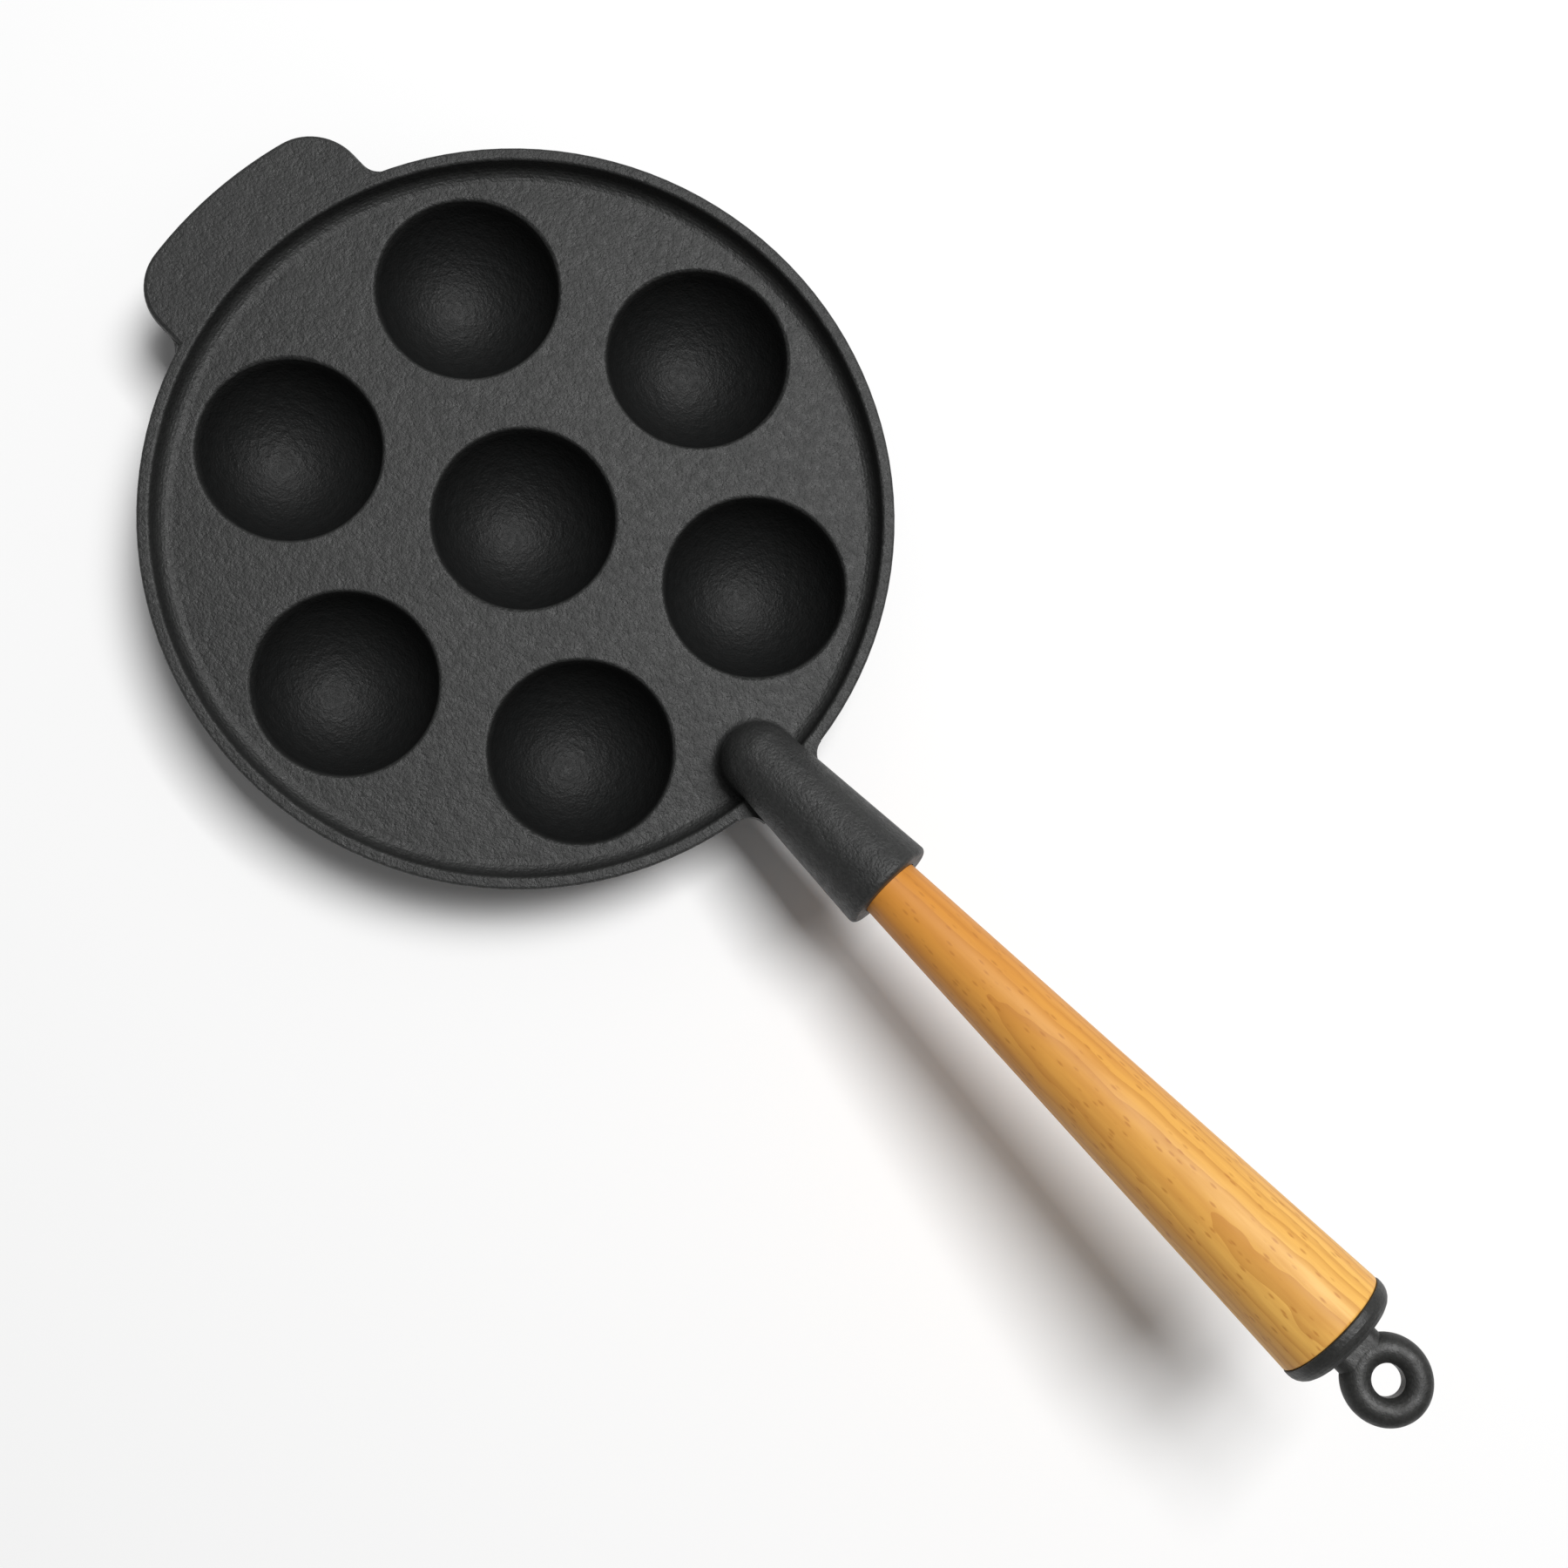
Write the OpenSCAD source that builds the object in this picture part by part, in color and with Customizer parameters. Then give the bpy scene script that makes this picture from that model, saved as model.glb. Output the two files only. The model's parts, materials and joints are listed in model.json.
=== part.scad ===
// Cast iron pan with seven cups for round filled pancakes, and a turned wooden handle.
// The origin is on the table under the middle cup, +X runs along the handle and +Z is up.

/* [Pan] */
// Outside diameter over the rim
pan_d = 220; // [216:1:250]
// Thickness of the flat deck between the cups
deck_t = 4.2; // [3.4:0.1:5]
// Height of the rim above the deck
rim_h = 7.5; // [6.5:0.5:12]
// Width of the flat lip on the rim
lip_w = 3.8; // [3:0.1:5]
// Lean of the rim's walls, in degrees, which lets the casting leave its mould
rim_draft = 6; // [2:1:9]
// Radius between the rim's inner wall and the deck
rim_fillet = 4.2; // [2:0.2:5]
// Radius on the lip's edges
lip_round = 1; // [0.4:0.1:1.3]
// Radius under the rim
heel_round = 4; // [2:0.5:5]

/* [Cups] */
// How many cups stand round the middle one
ring_cups = 6; // [4:1:6]
// Diameter of a cup's opening, measured on its rolled edge
cup_d = 55.6; // [48:0.2:57]
// Depth of a cup below the deck
cup_depth = 24.5; // [20:0.5:26]
// Thickness of a cup's wall
cup_wall = 4; // [3:0.2:4.6]
// Radius of the rolled edge round each cup
cup_edge = 1.2; // [0.6:0.1:2]
// Flat left between the ring of cups and the rim's fillet
cup_margin = 1.6; // [0.2:0.2:3]
// Radius where a cup's bowl meets the underside of the deck
bowl_fillet = 2.6; // [1:0.2:3]
// Diameter of the flat foot under each cup
foot_d = 19; // [14:0.5:24]
// How far each foot stands below its bowl
foot_h = 0.5; // [0.3:0.1:2]

/* [Helper tab] */
// How far the tab reaches past the rim
tab_reach = 20.3; // [14:0.5:30]
// Width of the tab where it meets the rim
tab_w = 76; // [60:1:90]
// Thickness of the tab
tab_t = 6.5; // [5:0.5:8]
// Radius of the tab's outer corners
tab_corner = 16.5; // [8:0.5:20]
// Radius between the tab's sides and the rim
tab_root = 6; // [3:0.5:9]
// Softening of the tab's edges
tab_edge = 1.4; // [0.5:0.1:2]

/* [Handle socket] */
// Rise of the handle above level, in degrees
handle_rise = 12; // [6:1:18]
// Height of the handle's axis over the deck at the socket's nose
socket_lift = 9; // [8:0.5:12]
// How far inside the rim the centre of the nose lies
socket_inset = 10; // [8:0.5:12]
// Radius of the socket's round nose
nose_r = 11; // [10:0.2:12]
// Length of the socket from the centre of its nose to its mouth
socket_len = 53.5; // [46:0.5:70]
// Outside diameter of the socket's mouth
mouth_d = 29.6; // [27:0.2:34]
// Radius on the edge of the mouth
mouth_round = 1.6; // [0.5:0.1:2.4]
// Radius between the socket's sides and the rim
socket_root = 6; // [3:0.5:9]
// Radius round the foot of the socket on the deck
nose_fillet = 2.4; // [1:0.2:3]
// Depth of the seat that takes the end of the grip
seat_depth = 14; // [13:0.5:18]

/* [Wooden grip] */
// Length of grip that shows between the socket and the end cap
grip_len = 165; // [120:1:190]
// Diameter of the grip where it leaves the socket
grip_narrow_d = 18.2; // [16:0.2:19.6]
// Diameter of the grip at the end cap
grip_wide_d = 34.5; // [28:0.5:38]
// Radius on the edge of the wide end
grip_round = 0.8; // [0.3:0.1:2]
// Gap between the grip's end and the wall of its seat
seat_gap = 0.3; // [0.2:0.05:0.5]
// Gap between the tie rod and the bore through the grip
grip_bore_gap = 0.4; // [0.2:0.1:1]

/* [Tie rod] */
// Diameter over the thread
rod_d = 6; // [5:0.5:7]
// Length of thread that holds in the socket
rod_grip_in = 12; // [12:0.5:18]
// Drilled depth left ahead of the rod's end in the socket
drill_spare = 2; // [1:0.5:4]
// Gap between the rod and the thread in the socket
thread_gap = 0.05; // [0.02:0.01:0.1]
// Chamfer on the rod's ends
rod_chamfer = 0.6; // [0.3:0.1:1]

/* [End cap and hanging eye] */
// Diameter of the cap's flange
flange_d = 35; // [30:0.5:40]
// Thickness of the flange at its edge, over its round
flange_edge = 5.4; // [4.8:0.2:8]
// Radius of the flange's back edge
flange_round = 4.6; // [2:0.2:4.6]
// Height of the cap's crown over the grip's end
crown_h = 7.2; // [5.5:0.1:10]
// Distance from the grip's end to the centre of the eye
eye_reach = 19.4; // [18.5:0.1:26]
// Outside diameter of the eye
eye_d = 24.3; // [22:0.1:28]
// Thickness of the eye's round section
eye_t = 8.4; // [7.6:0.1:9]
// Diameter of the hole in the eye
eye_hole_d = 8.8; // [8.6:0.1:11]
// Width of the neck between the cap and the eye
neck_w = 15.2; // [12:0.2:18]
// Thickness of the neck
neck_t = 8; // [7.4:0.1:8.2]
// Depth of the thread in the cap
cap_thread = 8; // [6.5:0.5:9]

/* [Hidden] */
$fn = 96;

// Colours
iron = "#3a3b3c";
beech = "#d9a050";
steel = "#9a9da0";

// How far a cutting shape runs past the face that it cuts
past = 1;
// How far a part of the casting reaches into its neighbour
sink = 2;
// Chords in each rounded corner of an outline
corner_chords = 6;
// Sides of the full circles that the tab's rounded plate is cut from
tab_arc_fn = 180;
tab_corner_fn = 64;
// Point angle of the drill that leaves the end of the socket's hole
drill_angle = 118;
// Taper of the socket's skirt, as the extra radius at the deck and the missing radius at the axis
skirt_out = 0.5;
skirt_in = 0.3;

pan_r = pan_d / 2;
cup_drop = cup_depth + cup_wall + foot_h;
deck_z = cup_drop;
rim_z = deck_z + rim_h;
rim_lean = tan(rim_draft);
inner_wall_r = pan_r - lip_w - rim_h * rim_lean;
outer_foot_r = pan_r - (rim_h + deck_t) * rim_lean;
flat_r = inner_wall_r - rim_fillet;

// The bowl is a sphere cap: its edge is cup_lip_r from the cup's axis where the sphere meets the deck
cup_lip_r = cup_d / 2 - cup_edge / 2;
bowl_r = (pow(cup_lip_r, 2) + pow(cup_depth, 2)) / (2 * cup_depth);
bowl_rise = bowl_r - cup_depth;
// The rolled edge is an arc of radius cup_edge that touches the deck and the sphere
roll_r = sqrt(pow(bowl_r + cup_edge, 2) - pow(bowl_rise + cup_edge, 2));
roll_share = bowl_r / (bowl_r + cup_edge);
roll_touch = [roll_r * roll_share, bowl_rise - (bowl_rise + cup_edge) * roll_share];
shell_r = bowl_r + cup_wall;
// The fillet under the deck touches the shell's sphere and the deck's underside
under_r = sqrt(pow(shell_r + bowl_fillet, 2) - pow(bowl_rise + deck_t + bowl_fillet, 2));
under_share = shell_r / (shell_r + bowl_fillet);
under_touch = [under_r * under_share, bowl_rise - (bowl_rise + deck_t + bowl_fillet) * under_share];
cup_ring_r = flat_r - cup_margin - roll_r;
first_cup_angle = 180 / ring_cups;

socket_x = pan_r - socket_inset;
mouth_r = mouth_d / 2;
seat_r = grip_narrow_d / 2 + seat_gap;
seat_z = socket_len - seat_depth;
grip_end = socket_len + grip_len;
rod_r = rod_d / 2;
rod_start = seat_z - rod_grip_in;
rod_end = grip_end + cap_thread;
drill_start = rod_start - drill_spare;
// Half the socket's width where its sides cross the rim
socket_side = nose_r + (mouth_r - nose_r) * socket_inset / socket_len;
flange_r = flange_d / 2;
eye_ring_r = (eye_d - eye_t) / 2;
neck_side = (neck_w - neck_t) / 2;

// Points of an arc round c, from angle a to angle b
function arc(c, r, a, b, n) = [for (i = [0:n]) c + r * [cos(a + (b - a) * i / n), sin(a + (b - a) * i / n)]];

function unit(v) = v / norm(v);

// Arc of radius r that touches the edges p-q and q-s of an outline with its corner at q
function corner(p, q, s, r) =
    r == 0 ? [q] :
    let (u = unit(p - q), w = unit(s - q), half = acos(u * w) / 2,
         centre = q + unit(u + w) * r / sin(half),
         from = q + u * r / tan(half) - centre, to = q + w * r / tan(half) - centre,
         a = atan2(from[1], from[0]), turn = atan2(to[1], to[0]) - a,
         sweep = turn > 180 ? turn - 360 : turn < -180 ? turn + 360 : turn)
    arc(centre, r, a, a + sweep, corner_chords);

// Outline whose corners are given as [x, y, radius]
function rounded(pts) =
    let (n = len(pts), xy = [for (p = pts) [p[0], p[1]]])
    [for (i = [0:n - 1]) each corner(xy[(i + n - 1) % n], xy[i], xy[(i + 1) % n], pts[i][2])];

// Puts its children in the handle's own frame, with +Z out along the handle and +X downwards
module on_handle() {
    translate([socket_x, 0, deck_z + socket_lift]) rotate([0, 90 - handle_rise, 0]) children();
}

// Puts its children at the middle of each cup, on the deck
module at_cups() {
    translate([0, 0, deck_z]) children();
    for (i = [0:ring_cups - 1]) {
        rotate(first_cup_angle + i * 360 / ring_cups) translate([cup_ring_r, 0, deck_z]) children();
    }
}

// Round tray: the deck with its rim
module tray() {
    translate([0, 0, deck_z]) rotate_extrude() polygon(rounded([
        [0, -deck_t, 0],
        [outer_foot_r, -deck_t, heel_round],
        [pan_r, rim_h, lip_round],
        [pan_r - lip_w, rim_h, lip_round],
        [inner_wall_r, 0, rim_fillet],
        [0, 0, 0]
    ]));
}

// Outside of one bowl below the deck, with its fillet and its flat foot
module bowl_shell() {
    rotate_extrude() {
        intersection() {
            translate([0, bowl_rise]) circle(shell_r);
            translate([0, -cup_drop - past]) square([shell_r, cup_drop + past - deck_t / 2]);
        }
        difference() {
            polygon([[0, -deck_t / 2], [under_r, -deck_t / 2], [under_r, -deck_t - bowl_fillet],
                     under_touch, [0, under_touch[1]]]);
            translate([under_r, -deck_t - bowl_fillet]) circle(bowl_fillet);
        }
    }
    translate([0, 0, -cup_drop]) cylinder(h = cup_wall, d = foot_d);
}

// Hollow of one cup: a sphere with a rolled edge that opens onto the deck
module cup_hollow() {
    rotate_extrude() {
        intersection() {
            translate([0, bowl_rise]) circle(bowl_r);
            translate([0, -cup_depth - past]) square([bowl_r, cup_depth + past]);
        }
        difference() {
            polygon([[0, past], [roll_r, past], [roll_r, -cup_edge], roll_touch, [0, roll_touch[1]]]);
            translate([roll_r, -cup_edge]) circle(cup_edge);
        }
    }
}

// Fills the plan corner between the rim and a side that leaves it at y = side, with radius r
module root_web(side, r) {
    centre = [sqrt(pow(pan_r + r, 2) - pow(side + r, 2)), side + r];
    touch = centre * pan_r / (pan_r + r);
    difference() {
        polygon([[touch[0] - sink, side - sink], [centre[0], side - sink], centre, touch,
                 touch - [sink, 0]]);
        translate(centre) circle(r);
    }
}

// Plan of the helper tab, drawn in by inset, as a convex plate that runs back under the rim
module tab_plan(inset) {
    reach = pan_r + tab_reach;
    corner_y = tab_w / 2 - tab_corner;
    corner_x = sqrt(pow(reach - tab_corner, 2) - pow(corner_y, 2));
    root_x = sqrt(pow(pan_r, 2) - pow(tab_w / 2, 2)) - lip_w;
    side = tab_w / 2 - inset;
    intersection() {
        circle(reach - inset, $fn = tab_arc_fn);
        polygon([[root_x, -side], [corner_x, -side], [corner_x * 2, -corner_y * 2],
                 [corner_x * 2, corner_y * 2], [corner_x, side], [root_x, side]]);
        union() {
            translate([root_x, -side]) square([corner_x - root_x, side * 2]);
            polygon([[0, 0], [corner_x * 2, -corner_y * 2], [corner_x * 2, corner_y * 2]]);
            for (y = [-corner_y, corner_y]) {
                translate([corner_x, y]) circle(tab_corner - inset, $fn = tab_corner_fn);
            }
        }
    }
}

// Helper tab opposite the handle, flush with the lip
module helper_tab() {
    steps = [[0, 1], [0.3, 0.3], [1, 0]];
    difference() {
        translate([0, 0, rim_z - tab_t]) hull() {
            for (s = steps) {
                translate([0, 0, tab_edge * s[1]])
                    linear_extrude(tab_t - 2 * tab_edge * s[1]) tab_plan(tab_edge * s[0]);
            }
        }
        translate([0, 0, rim_z - tab_t - past]) cylinder(h = tab_t + 2 * past, r = pan_r - lip_w / 2);
    }
    for (y = [0, 1]) {
        mirror([0, y, 0]) translate([0, 0, rim_z - tab_t + tab_edge])
            linear_extrude(tab_t - 2 * tab_edge) root_web(tab_w / 2, tab_root);
    }
}

// Outside of the handle socket: a tapered barrel with a round nose
module socket_barrel() {
    on_handle() rotate_extrude() polygon(concat(
        arc([0, 0], nose_r, -90, 0, corner_chords * 2),
        corner([nose_r, 0], [mouth_r, socket_len], [0, socket_len], mouth_round),
        [[0, socket_len]]
    ));
}

// Skirt under the barrel, drafted down to the deck, with its fillet
module socket_skirt() {
    skirt_h = socket_lift + deck_t / 2;
    foot_r = nose_r + skirt_out;
    run = socket_inset - lip_w / 2;
    translate([socket_x, 0, deck_z - deck_t / 2]) {
        cylinder(h = skirt_h, r1 = foot_r, r2 = nose_r - skirt_in);
        rotate([90, 0, 90]) linear_extrude(run) polygon([
            [-foot_r, 0], [foot_r, 0], [nose_r - skirt_in, skirt_h], [skirt_in - nose_r, skirt_h]
        ]);
    }
    translate([socket_x, 0, deck_z]) {
        rotate(90) rotate_extrude(angle = 180) translate([foot_r - skirt_out / 2, 0])
            foot_fillet();
        for (y = [0, 1]) {
            mirror([0, y, 0]) rotate([90, 0, 90]) linear_extrude(run)
                translate([foot_r - skirt_out / 2, 0]) foot_fillet();
        }
    }
}

// Section of the fillet round the skirt, with its corner at the origin
module foot_fillet() {
    difference() {
        translate([-sink, -sink]) square(nose_fillet + sink);
        translate([nose_fillet, nose_fillet]) circle(nose_fillet);
        translate([0, -sink * 2]) square([nose_fillet + sink, sink]);
    }
}

// The whole handle socket, before its bores
module handle_socket() {
    socket_barrel();
    socket_skirt();
    for (y = [0, 1]) {
        mirror([0, y, 0]) translate([0, 0, deck_z])
            linear_extrude(rim_h) root_web(socket_side, socket_root);
    }
}

// Seat for the grip and tapped hole for the tie rod
module socket_bores() {
    tap_r = rod_r + thread_gap;
    on_handle() {
        translate([0, 0, seat_z]) cylinder(h = seat_depth + past, r = seat_r);
        translate([0, 0, drill_start]) cylinder(h = seat_z - drill_start + past, r = tap_r);
        translate([0, 0, drill_start - tap_r / tan(drill_angle / 2)])
            cylinder(h = tap_r / tan(drill_angle / 2), r1 = 0, r2 = tap_r);
    }
}

// One iron casting: tray, seven cups, helper tab and handle socket
module pan_casting() {
    color(iron) difference() {
        union() {
            tray();
            at_cups() bowl_shell();
            mirror([1, 0, 0]) helper_tab();
            handle_socket();
        }
        at_cups() cup_hollow();
        socket_bores();
    }
}

// Turned grip, bored through for the tie rod
module wooden_grip() {
    bore_r = rod_r + grip_bore_gap;
    color(beech) on_handle() rotate_extrude() polygon(rounded([
        [bore_r, seat_z, 0],
        [seat_r - seat_gap, seat_z, grip_round],
        [seat_r - seat_gap, socket_len, 0],
        [grip_wide_d / 2, grip_end, grip_round],
        [bore_r, grip_end, 0]
    ]));
}

// Rod that pulls the cap and the grip onto the socket
module tie_rod() {
    color(steel) on_handle() rotate_extrude() polygon([
        [0, rod_start],
        [rod_r - rod_chamfer, rod_start],
        [rod_r, rod_start + rod_chamfer],
        [rod_r, rod_end - rod_chamfer],
        [rod_r - rod_chamfer, rod_end],
        [0, rod_end]
    ]);
}

// Cast cap on the grip's end, with a neck and the eye that the pan hangs by
module hanging_eye_cap() {
    front_round = 0.4;
    neck_end = eye_reach - sqrt(pow(eye_ring_r, 2) - pow(neck_side, 2));
    color(iron) on_handle() translate([0, 0, grip_end]) difference() {
        union() {
            rotate_extrude() polygon(rounded([
                [0, 0, 0],
                [flange_r, 0, front_round],
                [flange_r, flange_edge, flange_round],
                [0, crown_h, 0]
            ]));
            translate([0, 0, sink]) linear_extrude(neck_end - sink) {
                for (y = [-neck_side, neck_side]) {
                    translate([0, y]) circle(d = neck_t);
                }
                square([neck_t, neck_side * 2], center = true);
            }
            translate([0, 0, eye_reach]) rotate([0, 90, 0]) rotate_extrude()
                translate([eye_ring_r, 0]) circle(d = eye_t);
        }
        translate([0, 0, eye_reach]) rotate([0, 90, 0])
            cylinder(h = eye_t + 2 * past, d = eye_hole_d, center = true);
        translate([0, 0, -past]) cylinder(h = cap_thread + past, r = rod_r);
    }
}

pan_casting();
wooden_grip();
tie_rod();
hanging_eye_cap();
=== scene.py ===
"""Looks of the aebleskiver pan: a cast iron pan with seven cups and a turned beech handle.

Lengths are in metres. The frame is the model's own: the origin is on the table under the middle
cup, +X runs along the handle and +Z is up.
"""

import json
import logging
import math
from dataclasses import dataclass, field
from enum import Enum

import bpy
import numpy as np
from mathutils import Matrix, Vector

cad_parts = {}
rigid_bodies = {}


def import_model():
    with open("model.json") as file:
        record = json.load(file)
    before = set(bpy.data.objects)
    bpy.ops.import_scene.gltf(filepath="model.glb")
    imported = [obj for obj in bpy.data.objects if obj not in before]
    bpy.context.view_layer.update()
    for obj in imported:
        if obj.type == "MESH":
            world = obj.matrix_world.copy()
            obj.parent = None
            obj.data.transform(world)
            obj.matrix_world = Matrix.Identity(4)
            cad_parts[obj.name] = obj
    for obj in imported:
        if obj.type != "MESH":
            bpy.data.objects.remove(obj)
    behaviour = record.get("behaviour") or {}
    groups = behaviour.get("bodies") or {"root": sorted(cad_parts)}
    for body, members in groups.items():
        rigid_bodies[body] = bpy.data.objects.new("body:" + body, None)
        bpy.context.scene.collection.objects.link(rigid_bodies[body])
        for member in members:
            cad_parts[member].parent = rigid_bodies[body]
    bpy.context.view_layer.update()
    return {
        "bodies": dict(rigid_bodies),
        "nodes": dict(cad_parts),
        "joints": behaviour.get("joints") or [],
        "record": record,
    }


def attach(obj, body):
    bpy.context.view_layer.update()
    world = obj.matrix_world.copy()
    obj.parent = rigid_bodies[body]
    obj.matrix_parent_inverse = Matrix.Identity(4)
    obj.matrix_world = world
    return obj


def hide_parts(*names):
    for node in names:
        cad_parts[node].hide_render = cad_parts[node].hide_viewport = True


LOG = logging.getLogger("pan")
DECK_HEIGHT = 0.029
BELOW_EVERYTHING = -1.0

Colour = tuple[float, float, float]
Point = tuple[float, float, float]
Span = tuple[float, float]
Socket = bpy.types.NodeSocket


class Slot(Enum):
    """Material slots of the record."""

    PAN_IRON = "pan_iron"
    BEECH = "beech"
    ROD_STEEL = "rod_steel"
    CAP_IRON = "cap_iron"


class MixPlace(Enum):
    """Places of a colour mix node's inputs and of its result."""

    SHARE = 0
    FIRST = 6
    SECOND = 7
    RESULT = 2


def scaled(colour: Colour, factor: float) -> Colour:
    """Return a colour with each channel times a factor."""
    return tuple(channel * factor for channel in colour)


class Nodes:
    """The shader nodes of one material, and the links between them."""

    def __init__(self, name: str) -> None:
        """Start a material with no nodes.

        Args:
            name: the material's name.
        """
        self.material = bpy.data.materials.new(name)
        self.material.use_nodes = True
        self.tree = self.material.node_tree
        self.tree.nodes.clear()

    def add(self, kind: str, inputs: dict | None = None, **settings: object) -> bpy.types.Node:
        """Add one node.

        Args:
            kind: the node's type name.
            inputs: values or output sockets for its inputs, by name or place.
            settings: properties of the node.

        Returns:
            The new node.
        """
        made = self.tree.nodes.new(kind)
        for key, value in settings.items():
            setattr(made, key, value)
        for key, value in (inputs or {}).items():
            if isinstance(value, Socket):
                self.tree.links.new(value, made.inputs[key])
            else:
                made.inputs[key].default_value = value
        return made

    def position(self) -> Socket:
        """Return where a point is on its own object."""
        return self.add("ShaderNodeTexCoord").outputs["Object"]

    def mapped(self, vector: Socket, inputs: dict, **settings: object) -> Socket:
        """Move, turn or stretch a position.

        Args:
            vector: the position.
            inputs: the mapping's location, rotation or scale.
            settings: properties of the mapping.

        Returns:
            The new position's socket.
        """
        made = self.add("ShaderNodeMapping", {"Vector": vector, **inputs}, **settings)
        return made.outputs["Vector"]

    def noise(self, vector: Socket, scale: float, detail: float, roughness: float) -> Socket:
        """Add a noise texture.

        Args:
            vector: where the noise is read.
            scale: cells per metre.
            detail: how many finer layers it has.
            roughness: how strong the finer layers are.

        Returns:
            The noise value's socket.
        """
        made = self.add("ShaderNodeTexNoise", {"Vector": vector, "Scale": scale,
                                               "Detail": detail, "Roughness": roughness})
        return made.outputs["Fac"]

    def spread(self, value: Socket, span: Span, to: Span = (0.0, 1.0)) -> Socket:
        """Map a span of a value to another span, held at its ends.

        Args:
            value: the socket that is read.
            span: both ends of what is read.
            to: what those ends become.

        Returns:
            The mapped value's socket.
        """
        made = self.add("ShaderNodeMapRange", {"Value": value, "From Min": span[0],
                                               "From Max": span[1], "To Min": to[0],
                                               "To Max": to[1]})
        return made.outputs["Result"]

    def blend(self, share: Socket, first: Socket | Colour, second: Socket | Colour) -> Socket:
        """Mix two colours.

        Args:
            share: how much of the second colour there is.
            first: a colour or a socket.
            second: a colour or a socket.

        Returns:
            The mixed colour's socket.
        """
        made = self.add("ShaderNodeMix", {MixPlace.SHARE.value: share}, data_type="RGBA")
        for place, value in ((MixPlace.FIRST.value, first), (MixPlace.SECOND.value, second)):
            if isinstance(value, Socket):
                self.tree.links.new(value, made.inputs[place])
            else:
                made.inputs[place].default_value = (*value, 1.0)
        return made.outputs[MixPlace.RESULT.value]

    def surface(self, colour: Socket, roughness: Socket | float, height: Socket, depth: float,
                **others: Socket | float) -> bpy.types.Material:
        """Finish the material with one shader and a bump.

        Args:
            colour: base colour's socket.
            roughness: a socket or a number.
            height: the bump's height, 0 to 1.
            depth: what a height of 1 is, in metres.
            others: the shader's other inputs, with spaces as underscores.

        Returns:
            The finished material.
        """
        bump = self.add("ShaderNodeBump", {"Height": height, "Distance": depth, "Strength": 1.0})
        inputs = {"Base Color": colour, "Roughness": roughness, "Normal": bump.outputs["Normal"]}
        inputs.update({key.replace("_", " "): value for key, value in others.items()})
        shader = self.add("ShaderNodeBsdfPrincipled", inputs)
        self.add("ShaderNodeOutputMaterial", {"Surface": shader.outputs["BSDF"]})
        return self.material


@dataclass(frozen=True)
class CastIron:
    """Matte seasoned iron, with the sandy skin that a mould leaves and painted shade darkening
    the cups.
    """

    slot: Slot
    dark: Colour
    light: Colour
    grain_per_m: float
    grain_depth: float
    cups_below: float
    roughness: float = 0.50
    rough_swing: Span = (-0.06, 0.08)
    skin_to_grain: float = 0.32
    clouds_per_m: float = 38.0
    fleck_lift: float = 1.5
    # share of the dark tone that is painted into the cups as shade
    cup_painted_shade: float = 0.8
    cup_fade: Span = (-0.0045, -0.0005)
    gloss: Span = (0.27, 0.48)

    def colour(self, nodes: Nodes, place: Socket, grain: Socket) -> Socket:
        """Mix the iron's cloudy tone and its pale grains.

        Args:
            nodes: the material's nodes.
            place: position on the piece.
            grain: the fine grain's value.

        Returns:
            The base colour's socket.
        """
        cloud = nodes.noise(place, self.clouds_per_m, 3.0, 0.55)
        tone = nodes.blend(nodes.spread(cloud, (0.3, 0.7)), self.dark, self.light)
        fleck = nodes.spread(grain, (0.35, 0.75))
        return nodes.blend(fleck, tone, scaled(self.light, self.fleck_lift))

    def build(self) -> bpy.types.Material:
        """Make the iron's material.

        Returns:
            The material, named after its slot.
        """
        nodes = Nodes(self.slot.value)
        place = nodes.position()
        grain = nodes.noise(place, self.grain_per_m, 3.0, 0.65)
        skin = nodes.noise(place, self.grain_per_m * self.skin_to_grain, 2.0, 0.5)
        both = nodes.add("ShaderNodeMath", {0: grain, 1: skin}, operation="ADD").outputs[0]
        upright = nodes.add("ShaderNodeSeparateXYZ", {0: place}).outputs["Z"]
        fade = (self.cups_below + self.cup_fade[0], self.cups_below + self.cup_fade[1])
        above_cups = nodes.spread(upright, fade)
        # Painted shade: below the deck the cups get a darker copy of the dark tone, standing in
        # for the shade inside the hollows.
        colour = nodes.blend(above_cups, scaled(self.dark, self.cup_painted_shade),
                             self.colour(nodes, place, grain))
        rough_span = (self.roughness + self.rough_swing[0], self.roughness + self.rough_swing[1])
        roughness = nodes.spread(skin, (0.3, 0.7), rough_span)
        gloss = nodes.spread(above_cups, (0.0, 1.0), self.gloss)
        return nodes.surface(colour, roughness, nodes.spread(both, (0.5, 1.5)), self.grain_depth,
                             Specular_IOR_Level=gloss)


@dataclass(frozen=True)
class HandleAxis:
    """The line that the handle is turned about."""

    start: Point = (0.100, 0.0, 0.038)
    rise: float = math.radians(12.0)

    def place(self, along: np.ndarray, across: np.ndarray, up: np.ndarray) -> np.ndarray:
        """Turn distances along, across and above the axis into points.

        A point is the start, plus the distances along and above it turned by the rise in the
        upright plane of the handle, plus the distance across towards +Y.

        Args:
            along: distance from the start, along the axis.
            across: distance towards +Y.
            up: distance square to both, on the upper side.

        Returns:
            The points, with their coordinates last.
        """
        cosine, sine = math.cos(self.rise), math.sin(self.rise)
        x = self.start[0] + along * cosine - up * sine
        z = self.start[2] + along * sine + up * cosine
        return np.stack([x, self.start[1] + across, z], axis=-1)


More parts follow.
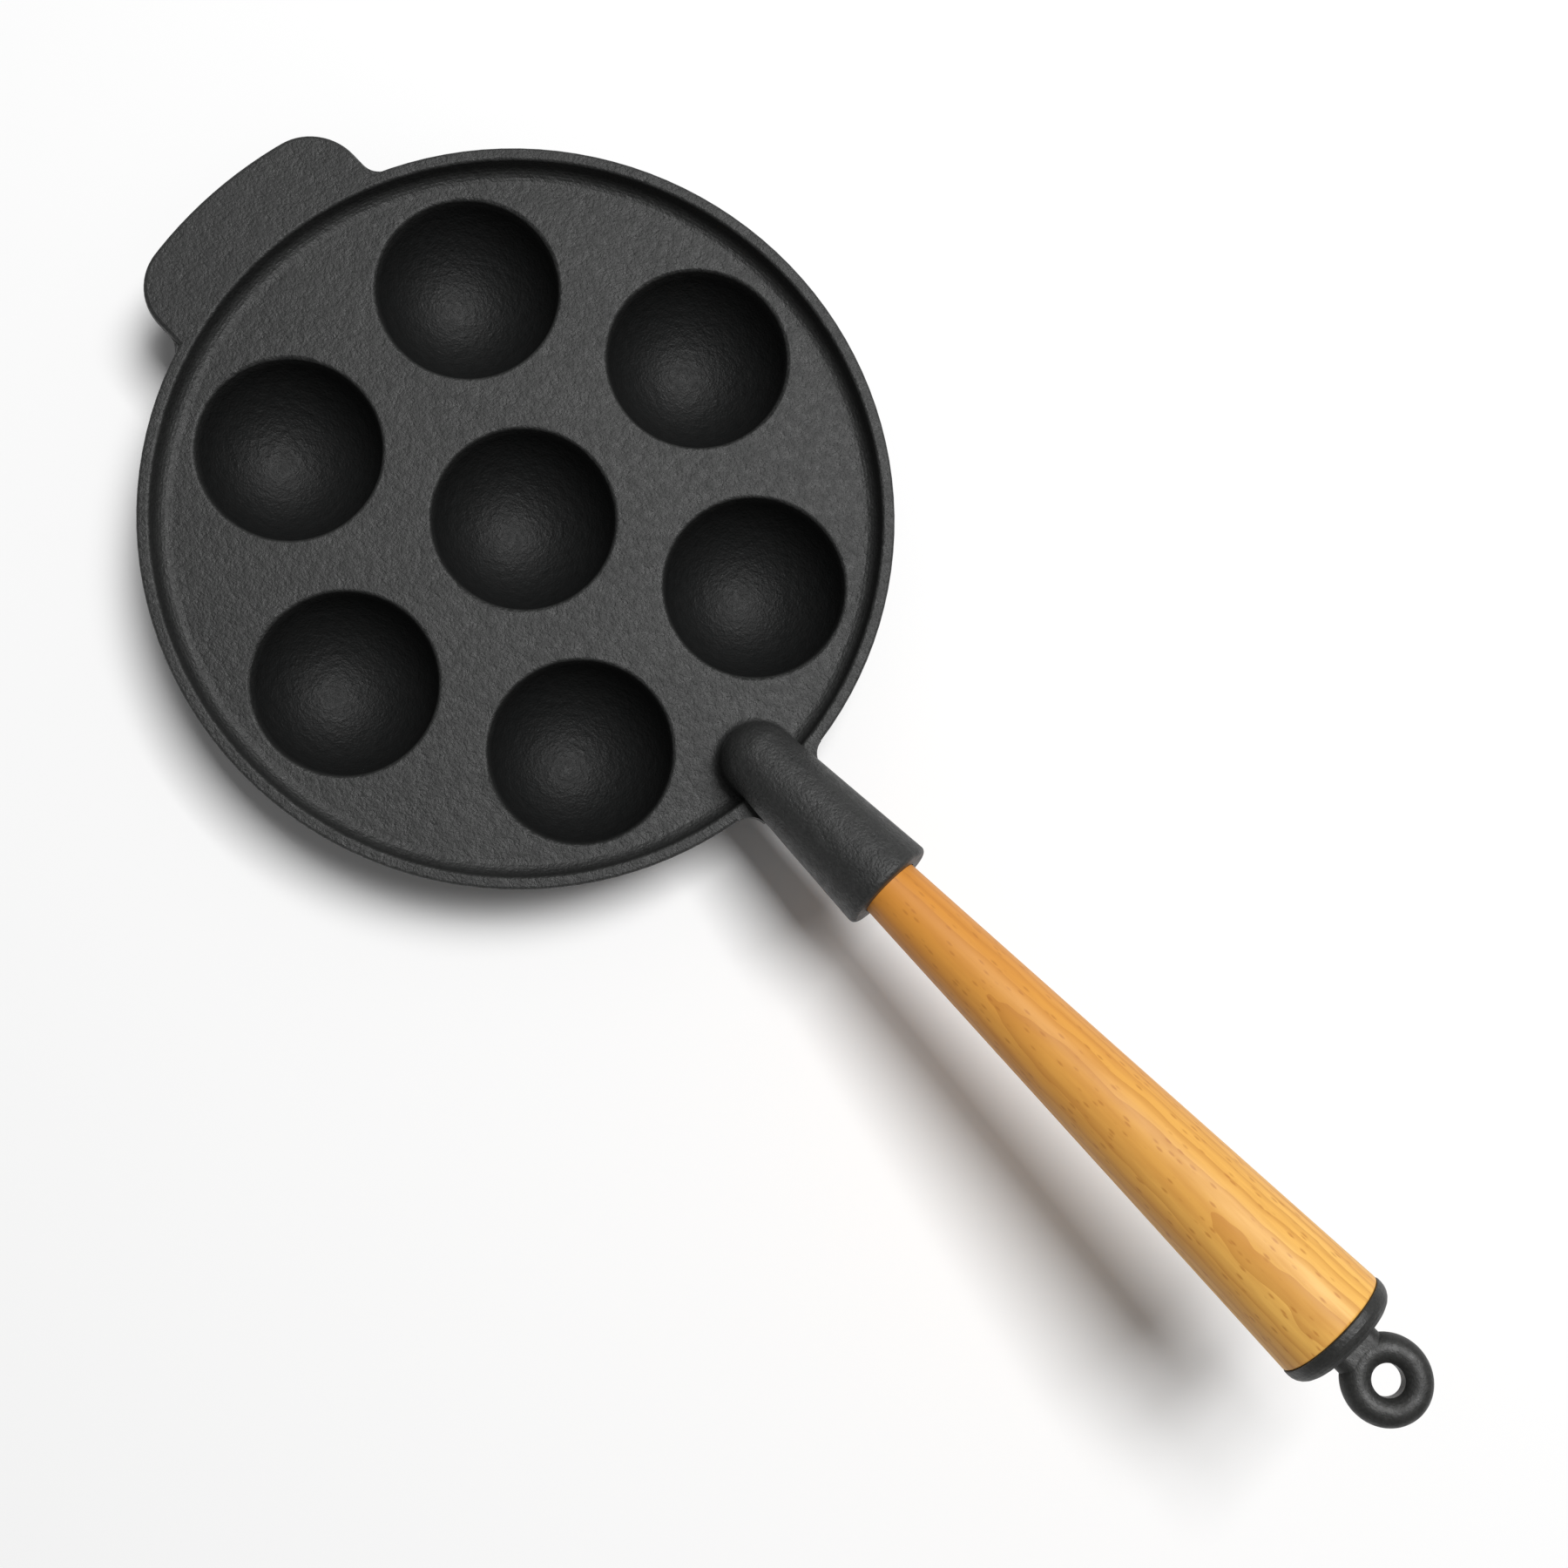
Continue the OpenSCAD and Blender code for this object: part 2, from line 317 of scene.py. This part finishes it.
@dataclass(frozen=True)
class Beech:
    """Oiled beech, with growth rings, streaks and the short dark flecks of its rays."""

    axis: HandleAxis
    near: Colour = (0.62, 0.245, 0.036)
    far: Colour = (0.83, 0.465, 0.108)
    deep: Colour = (0.46, 0.170, 0.030)
    pale_from: Span = (0.045, 0.20)
    board_offset: Point = (0.0, 0.013, -0.030)
    board_turn: Point = (0.0, 0.045, -0.05)
    board_stretch: Point = (0.5, 1.0, 1.0)
    ring_scale: float = 96.0
    ring_wobble: float = 3.6
    fibres_per_m: float = 420.0
    bands_per_m: float = 75.0
    fibre_stretch: Point = (0.06, 1.0, 1.0)
    flecks_per_m: float = 620.0
    fleck_stretch: Point = (0.28, 1.0, 1.0)
    fibre_depth: float = 0.00004

    def rings(self, nodes: Nodes, along: Socket) -> Socket:
        """Return how deep in a growth ring a point is.

        Args:
            nodes: the material's nodes.
            along: position in the handle's own directions.

        Returns:
            The share of the deep colour.
        """
        board = nodes.mapped(along, {"Location": self.board_offset, "Rotation": self.board_turn,
                                     "Scale": self.board_stretch})
        wave = nodes.add("ShaderNodeTexWave", {"Vector": board, "Scale": self.ring_scale,
                                               "Distortion": self.ring_wobble, "Detail": 2.0,
                                               "Detail Scale": 0.8},
                         wave_type="RINGS", rings_direction="X", wave_profile="SAW")
        return nodes.spread(wave.outputs["Fac"], (0.55, 1.0), (0.0, 0.5))

    def flecks(self, nodes: Nodes, along: Socket) -> Socket:
        """Return the short dark flecks.

        Args:
            nodes: the material's nodes.
            along: position in the handle's own directions.

        Returns:
            The share of the deep colour.
        """
        place = nodes.mapped(along, {"Scale": self.fleck_stretch})
        cells = nodes.add("ShaderNodeTexVoronoi", {"Vector": place, "Scale": self.flecks_per_m,
                                                   "Randomness": 1.0})
        return nodes.spread(cells.outputs["Distance"], (0.12, 0.26), (0.62, 0.0))

    def build(self) -> bpy.types.Material:
        """Make the beech's material.

        Returns:
            The material, named after its slot.
        """
        nodes = Nodes(Slot.BEECH.value)
        along = nodes.mapped(nodes.position(), {"Location": self.axis.start,
                                                "Rotation": (0.0, -self.axis.rise, 0.0)},
                             vector_type="TEXTURE")
        reach = nodes.add("ShaderNodeSeparateXYZ", {0: along}).outputs["X"]
        base = nodes.blend(nodes.spread(reach, self.pale_from), self.near, self.far)
        ringed = nodes.blend(self.rings(nodes, along), base, self.deep)
        grain = nodes.mapped(along, {"Scale": self.fibre_stretch})
        fibre = nodes.noise(grain, self.fibres_per_m, 3.0, 0.6)
        band = nodes.noise(grain, self.bands_per_m, 2.0, 0.5)
        streaked = nodes.blend(nodes.spread(fibre, (0.42, 0.72), (0.0, 0.34)), ringed, self.deep)
        banded = nodes.blend(nodes.spread(band, (0.46, 0.66), (0.0, 0.42)), streaked, self.near)
        colour = nodes.blend(self.flecks(nodes, along), banded, self.deep)
        roughness = nodes.spread(fibre, (0.3, 0.7), (0.42, 0.56))
        return nodes.surface(colour, roughness, fibre, self.fibre_depth, Specular_IOR_Level=0.3,
                             Coat_Weight=0.04, Coat_Roughness=0.35)


@dataclass(frozen=True)
class Steel:
    """Plain drawn steel."""

    slot: Slot
    colour: Colour = (0.42, 0.42, 0.43)
    dull_share: float = 0.8
    roughness: float = 0.34
    lines_per_m: float = 1500.0
    line_depth: float = 0.00001

    def build(self) -> bpy.types.Material:
        """Make the steel's material.

        Returns:
            The material, named after its slot.
        """
        nodes = Nodes(self.slot.value)
        lines = nodes.noise(nodes.position(), self.lines_per_m, 2.0, 0.5)
        tint = nodes.blend(nodes.spread(lines, (0.3, 0.7)), self.colour,
                           scaled(self.colour, self.dull_share))
        return nodes.surface(tint, self.roughness, lines, self.line_depth, Metallic=1.0)


def turned_mesh(name: str, points: np.ndarray) -> bpy.types.Object:
    """Make a closed mesh from a grid of points that joins up in both directions.

    Each face has a point, its neighbour in the next column, and the same two in the next row.

    Args:
        name: the object's name.
        points: rows along a closed section, columns round the axis, and 3 coordinates.

    Returns:
        The new object, linked to the scene and shaded smooth.
    """
    rows, columns = points.shape[:2]
    here = np.arange(rows * columns).reshape(rows, columns)
    ahead = np.roll(here, -1, axis=0)
    corners = [here, np.roll(here, -1, axis=1), np.roll(ahead, -1, axis=1), ahead]
    quads = np.stack(corners, axis=-1).reshape(-1, 4)
    mesh = bpy.data.meshes.new(name)
    mesh.from_pydata(points.reshape(-1, 3).tolist(), [], quads.tolist())
    mesh.polygons.foreach_set("use_smooth", np.ones(len(quads), dtype=bool))
    mesh.update()
    piece = bpy.data.objects.new(name, mesh)
    bpy.context.scene.collection.objects.link(piece)
    return piece


@dataclass
class WoodenGrip:
    """Turned grip with its seated end and its bore."""

    axis: HandleAxis = field(default_factory=HandleAxis)
    seat: float = 0.0395
    mouth: float = 0.0535
    end: float = 0.2185
    bore_r: float = 0.0034
    narrow_r: float = 0.0091
    wide_r: float = 0.01725
    edge: float = 0.0008
    columns: int = 192
    taper_rows: int = 90
    edge_rows: int = 7

    def section(self) -> np.ndarray:
        """Work out the closed half section.

        It goes from the seated end over a rounded edge, along the taper from the narrow to the
        wide radius in equal steps, over the end's rounded edge and back through the bore. A
        rounded edge is a quarter of a circle: one less its cosine off the radius, and one less
        its sine off the length.

        Returns:
            Rows of distance along the axis and radius.
        """
        arc = np.linspace(0.0, math.pi / 2, self.edge_rows)
        off_length, off_radius = self.edge * (1 - np.sin(arc)), self.edge * (1 - np.cos(arc))
        seated = np.stack([self.seat + off_length, self.narrow_r - off_radius], axis=1)[::-1]
        share = np.linspace(0.0, 1.0, self.taper_rows)
        taper = np.stack([self.mouth + share * (self.end - self.edge - self.mouth),
                          self.narrow_r + share * (self.wide_r - self.narrow_r)], axis=1)
        rounded = np.stack([self.end - off_length, self.wide_r - off_radius], axis=1)[1:]
        bore = np.array([[self.end, self.bore_r], [self.seat, self.bore_r]])
        return np.concatenate([seated, taper, rounded, bore])

    def build(self) -> bpy.types.Object:
        """Spin the section about the handle's axis and dress it.

        A point is across the axis by the section's radius times the cosine of the turn, and
        above it by the radius times the sine.

        Returns:
            The grip's object.
        """
        section = self.section()
        turn = np.linspace(0.0, 2 * math.pi, self.columns, endpoint=False)
        along = np.repeat(section[:, :1], self.columns, axis=1)
        across = section[:, 1:] * np.cos(turn)
        up = section[:, 1:] * np.sin(turn)
        piece = turned_mesh("turned_grip", self.axis.place(along, across, up))
        piece.data.materials.append(Beech(axis=self.axis).build())
        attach(piece, "grip")
        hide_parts("wooden_grip")
        return piece


@dataclass
class Ironwork:
    """The pan, the end cap and the rod, whose solids keep their shape and get a finish."""

    pan: CastIron = CastIron(Slot.PAN_IRON, dark=(0.010, 0.0105, 0.0105),
                             light=(0.018, 0.0185, 0.018), grain_per_m=1150.0,
                             grain_depth=0.00034, cups_below=DECK_HEIGHT)
    cap: CastIron = CastIron(Slot.CAP_IRON, dark=(0.010, 0.0105, 0.010),
                             light=(0.017, 0.017, 0.016), grain_per_m=1100.0,
                             grain_depth=0.00014, cups_below=BELOW_EVERYTHING)
    rod: Steel = Steel(Slot.ROD_STEEL)

    def dress(self, frame: dict) -> None:
        """Give each solid its finish.

        Args:
            frame: the loaded frame.
        """
        finishes = {"pan_casting": self.pan, "hanging_eye_cap": self.cap, "tie_rod": self.rod}
        for node, finish in finishes.items():
            material = finish.build()
            for place in frame["nodes"][node].material_slots:
                place.material = material
            LOG.info("dressed %s", node)


@dataclass
class Studio:
    """Camera, lamp, floor and white surroundings."""

    eye: Point = (0.109667, -0.053310, 0.540111)
    forward: Point = (0.00098964, 0.10558369, -0.99440993)
    up: Point = (-0.71971355, 0.69046529, 0.07259543)
    lens_mm: float = 39.8255
    sensor_mm: float = 36.0
    near_clip: float = 0.01
    floor_side: float = 6.0
    floor_pale: Colour = (0.93, 0.93, 0.93)
    world_level: float = 0.20
    world_seen: float = 1.0
    lamp_watts: float = 71.0
    lamp_place: Point = (0.14, 0.94, 2.45)
    lamp_aim: Point = (0.08, 0.0, 0.03)
    lamp_side: float = 1.1

    def camera(self) -> None:
        """Place the camera where the photograph was taken from."""
        data = bpy.data.cameras.new("photo_camera")
        data.lens = self.lens_mm
        data.sensor_width = self.sensor_mm
        data.clip_start = self.near_clip
        forward = Vector(self.forward).normalized()
        right = forward.cross(Vector(self.up)).normalized()
        up = right.cross(forward)
        turn = Matrix((right, up, -forward)).transposed().to_4x4()
        camera = bpy.data.objects.new("photo_camera", data)
        camera.matrix_world = Matrix.Translation(self.eye) @ turn
        bpy.context.scene.collection.objects.link(camera)
        bpy.context.scene.camera = camera

    def lamp(self) -> None:
        """Hang one large soft lamp over the pan, towards the upper right of the picture."""
        data = bpy.data.lights.new("key_lamp", "AREA")
        data.shape = "SQUARE"
        data.size = self.lamp_side
        data.energy = self.lamp_watts
        lamp = bpy.data.objects.new("key_lamp", data)
        place = Vector(self.lamp_place)
        turn = (Vector(self.lamp_aim) - place).to_track_quat("-Z", "Y").to_matrix().to_4x4()
        lamp.matrix_world = Matrix.Translation(place) @ turn
        bpy.context.scene.collection.objects.link(lamp)

    def floor(self) -> None:
        """Lay a pale floor that keeps the pan's shadow."""
        half = self.floor_side / 2
        corners = [(-half, -half, 0.0), (half, -half, 0.0), (half, half, 0.0), (-half, half, 0.0)]
        mesh = bpy.data.meshes.new("floor")
        mesh.from_pydata(corners, [], [(0, 1, 2, 3)])
        piece = bpy.data.objects.new("floor", mesh)
        bpy.context.scene.collection.objects.link(piece)
        nodes = Nodes("floor_white")
        shader = nodes.add("ShaderNodeBsdfDiffuse", {"Color": (*self.floor_pale, 1.0)})
        nodes.add("ShaderNodeOutputMaterial", {"Surface": shader.outputs["BSDF"]})
        piece.data.materials.append(nodes.material)

    def surroundings(self) -> None:
        """Light the pan faintly from all round, and show a pale background to the camera."""
        world = bpy.data.worlds.new("studio")
        bpy.context.scene.world = world
        world.use_nodes = True
        tree = world.node_tree
        tree.nodes.clear()
        path = tree.nodes.new("ShaderNodeLightPath")
        level = tree.nodes.new("ShaderNodeMapRange")
        level.inputs["To Min"].default_value = self.world_level
        level.inputs["To Max"].default_value = self.world_seen
        back = tree.nodes.new("ShaderNodeBackground")
        out = tree.nodes.new("ShaderNodeOutputWorld")
        tree.links.new(path.outputs["Is Camera Ray"], level.inputs["Value"])
        tree.links.new(level.outputs["Result"], back.inputs["Strength"])
        tree.links.new(back.outputs["Background"], out.inputs["Surface"])

    def build(self) -> None:
        """Set the studio up."""
        bpy.context.scene.view_settings.view_transform = "Standard"
        self.camera()
        self.lamp()
        self.floor()
        self.surroundings()


def main() -> None:
    """Load the frame, build each sub-assembly and log the grip's name."""
    logging.basicConfig(level=logging.INFO, format="%(message)s")
    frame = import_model()
    Studio().build()
    Ironwork().dress(frame)
    grip = WoodenGrip().build()
    LOG.info("built %s", grip.name)


if __name__ == "__main__":
    main()
